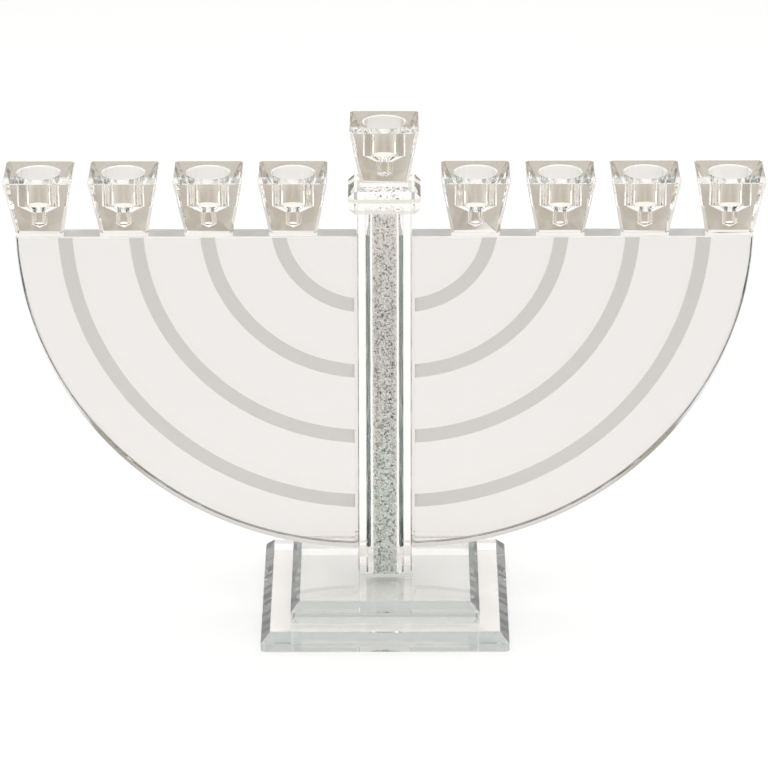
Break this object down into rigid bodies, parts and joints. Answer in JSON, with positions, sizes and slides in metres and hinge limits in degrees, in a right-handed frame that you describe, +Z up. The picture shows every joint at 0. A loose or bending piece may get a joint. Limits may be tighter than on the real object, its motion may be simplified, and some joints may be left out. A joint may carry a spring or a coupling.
{
  "type": "menorah",
  "caption": "Clear glass menorah: bevelled two-tier square base, square column filled with crushed glass, quarter-disc wings with frosted arcs, tapered candle cups, one raised in the middle.",
  "frame": {"origin": "middle of the lower base plate's underside, on the surface it stands on", "axes": "+Z up, +X along the row of cups to the right, -Y the front"},
  "size_m": [0.384, 0.127, 0.2637],
  "materials": {
    "clear_crystal": "polished clear optical glass",
    "etched_plate": "polished clear plate glass with sandblasted arc bands",
    "crushed_glass": "loose crushed glass chips, sparkling"
  },
  "bodies": {
    "root": {"lower_base_plate": "clear_crystal", "upper_base_plate": "clear_crystal", "column_block": "clear_crystal", "crushed_glass_fill": "crushed_glass", "collar_block": "clear_crystal", "wing_plate_left": "etched_plate", "wing_plate_right": "etched_plate", "cup_middle": "clear_crystal", "cup_right_1": "clear_crystal", "cup_left_1": "clear_crystal", "cup_right_2": "clear_crystal", "cup_left_2": "clear_crystal", "cup_right_3": "clear_crystal", "cup_left_3": "clear_crystal", "cup_right_4": "clear_crystal", "cup_left_4": "clear_crystal"}
  },
  "joints": []
}
